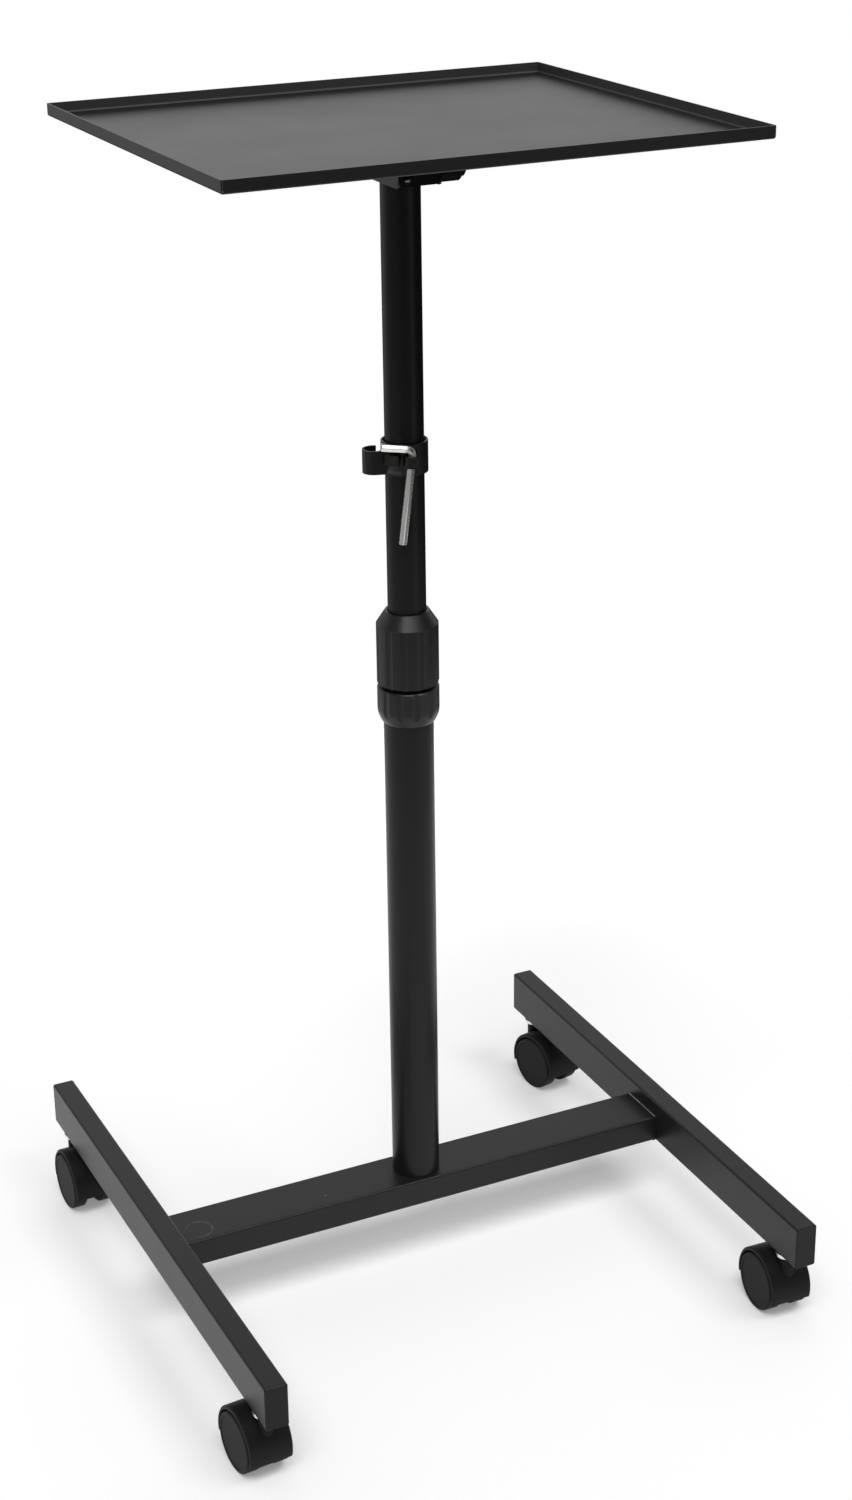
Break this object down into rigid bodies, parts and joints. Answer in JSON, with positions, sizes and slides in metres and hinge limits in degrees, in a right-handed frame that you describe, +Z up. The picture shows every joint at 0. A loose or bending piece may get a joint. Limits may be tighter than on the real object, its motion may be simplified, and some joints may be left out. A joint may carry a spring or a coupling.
{
  "type": "portable projector stand",
  "caption": "Black steel projector stand with a tilting lipped tray on a telescopic pole with a twist lock, over a wheeled H-shaped base with hooded casters.",
  "frame": {"origin": "on the floor under the pole's axis, at the centre of the base", "axes": "+Z up along the pole, +X along the cross beam towards the tilt knob, +Y along the side rails to the back"},
  "size_m": [0.5432, 0.525, 1.025],
  "materials": {
    "black_steel": "satin black powder coat",
    "black_plastic": "matte moulded plastic",
    "caster_plastic": "semi-matte moulded nylon",
    "wheel_plastic": "matte moulded nylon",
    "bright_steel": "nickel plated"
  },
  "bodies": {
    "base": {"left_rail": "black_steel", "right_rail": "black_steel", "left_front_cap": "black_plastic", "left_back_cap": "black_plastic", "right_front_cap": "black_plastic", "right_back_cap": "black_plastic", "cross_beam": "black_steel", "left_end_plate": "black_steel", "right_end_plate": "black_steel", "lower_tube": "black_steel", "lock_ring": "black_plastic", "collet": "black_plastic", "front_left_caster_stem": "bright_steel", "front_right_caster_stem": "bright_steel", "back_left_caster_stem": "bright_steel", "back_right_caster_stem": "bright_steel"},
    "sleeve": {"lock_sleeve": "black_plastic"},
    "glide": {"guide_bush": "black_plastic"},
    "mast": {"upper_tube": "black_steel", "tube_plug": "black_plastic", "key_clip": "black_plastic", "hex_key": "bright_steel"},
    "tray_head": {"tray": "black_steel", "tray_bracket": "black_steel", "pivot_bolt": "bright_steel"},
    "knob": {"tilt_knob": "black_plastic"},
    "front_left_caster": {"front_left_caster_hood": "caster_plastic", "front_left_caster_axle": "bright_steel"},
    "front_left_wheel_left": {"front_left_caster_wheel_left": "wheel_plastic"},
    "front_left_wheel_right": {"front_left_caster_wheel_right": "wheel_plastic"},
    "front_right_caster": {"front_right_caster_hood": "caster_plastic", "front_right_caster_axle": "bright_steel"},
    "front_right_wheel_left": {"front_right_caster_wheel_left": "wheel_plastic"},
    "front_right_wheel_right": {"front_right_caster_wheel_right": "wheel_plastic"},
    "back_left_caster": {"back_left_caster_hood": "caster_plastic", "back_left_caster_axle": "bright_steel"},
    "back_left_wheel_left": {"back_left_caster_wheel_left": "wheel_plastic"},
    "back_left_wheel_right": {"back_left_caster_wheel_right": "wheel_plastic"},
    "back_right_caster": {"back_right_caster_hood": "caster_plastic", "back_right_caster_axle": "bright_steel"},
    "back_right_wheel_left": {"back_right_caster_wheel_left": "wheel_plastic"},
    "back_right_wheel_right": {"back_right_caster_wheel_right": "wheel_plastic"}
  },
  "joints": [
    {"name": "sleeve_twist", "type": "hinge", "parent": "base", "child": "sleeve", "pos_m": [0, 0, 0.592], "axis": [0, 0, 1], "range_deg": [0, 180]},
    {"name": "height_slide", "type": "slide", "parent": "base", "child": "glide", "axis": [0, 0, 1], "range_m": [-0.058, 0.12]},
    {"name": "mast_swivel", "type": "hinge", "parent": "glide", "child": "mast", "pos_m": [0, 0, 0.5], "axis": [0, 0, 1], "continuous": true},
    {"name": "tray_tilt", "type": "hinge", "parent": "mast", "child": "tray_head", "pos_m": [0, 0, 0.99], "axis": [1, 0, 0], "range_deg": [-30, 30]},
    {"name": "knob_turn", "type": "hinge", "parent": "tray_head", "child": "knob", "pos_m": [0.04, 0, 0.99], "axis": [1, 0, 0], "range_deg": [0, 360]},
    {"name": "front_left_swivel", "type": "hinge", "parent": "base", "child": "front_left_caster", "pos_m": [-0.246, -0.2345, 0.05], "axis": [0, 0, 1], "continuous": true},
    {"name": "front_left_roll_left", "type": "hinge", "parent": "front_left_caster", "child": "front_left_wheel_left", "pos_m": [-0.2607, -0.2166, 0.026], "axis": [0.9969, 0.0785, 0], "continuous": true},
    {"name": "front_left_roll_right", "type": "hinge", "parent": "front_left_caster", "child": "front_left_wheel_right", "pos_m": [-0.23428, -0.21452, 0.026], "axis": [0.9969, 0.0785, 0], "continuous": true},
    {"name": "front_right_swivel", "type": "hinge", "parent": "base", "child": "front_right_caster", "pos_m": [0.246, -0.2345, 0.05], "axis": [0, 0, 1], "continuous": true},
    {"name": "front_right_roll_left", "type": "hinge", "parent": "front_right_caster", "child": "front_right_wheel_left", "pos_m": [0.23342, -0.21505, 0.026], "axis": [0.9994, -0.0349, 0], "continuous": true},
    {"name": "front_right_roll_right", "type": "hinge", "parent": "front_right_caster", "child": "front_right_wheel_right", "pos_m": [0.2599, -0.21597, 0.026], "axis": [0.9994, -0.0349, 0], "continuous": true},
    {"name": "back_left_swivel", "type": "hinge", "parent": "base", "child": "back_left_caster", "pos_m": [-0.246, 0.2345, 0.05], "axis": [0, 0, 1], "continuous": true},
    {"name": "back_left_roll_left", "type": "hinge", "parent": "back_left_caster", "child": "back_left_wheel_left", "pos_m": [-0.25858, 0.21505, 0.026], "axis": [-0.9994, -0.0349, 0], "continuous": true},
    {"name": "back_left_roll_right", "type": "hinge", "parent": "back_left_caster", "child": "back_left_wheel_right", "pos_m": [-0.23209, 0.21597, 0.026], "axis": [-0.9994, -0.0349, 0], "continuous": true},
    {"name": "back_right_swivel", "type": "hinge", "parent": "base", "child": "back_right_caster", "pos_m": [0.246, 0.2345, 0.05], "axis": [0, 0, 1], "continuous": true},
    {"name": "back_right_roll_left", "type": "hinge", "parent": "back_right_caster", "child": "back_right_wheel_left", "pos_m": [0.23662, 0.21332, 0.026], "axis": [-0.9816, -0.1908, 0], "continuous": true},
    {"name": "back_right_roll_right", "type": "hinge", "parent": "back_right_caster", "child": "back_right_wheel_right", "pos_m": [0.26263, 0.21838, 0.026], "axis": [-0.9816, -0.1908, 0], "continuous": true}
  ]
}
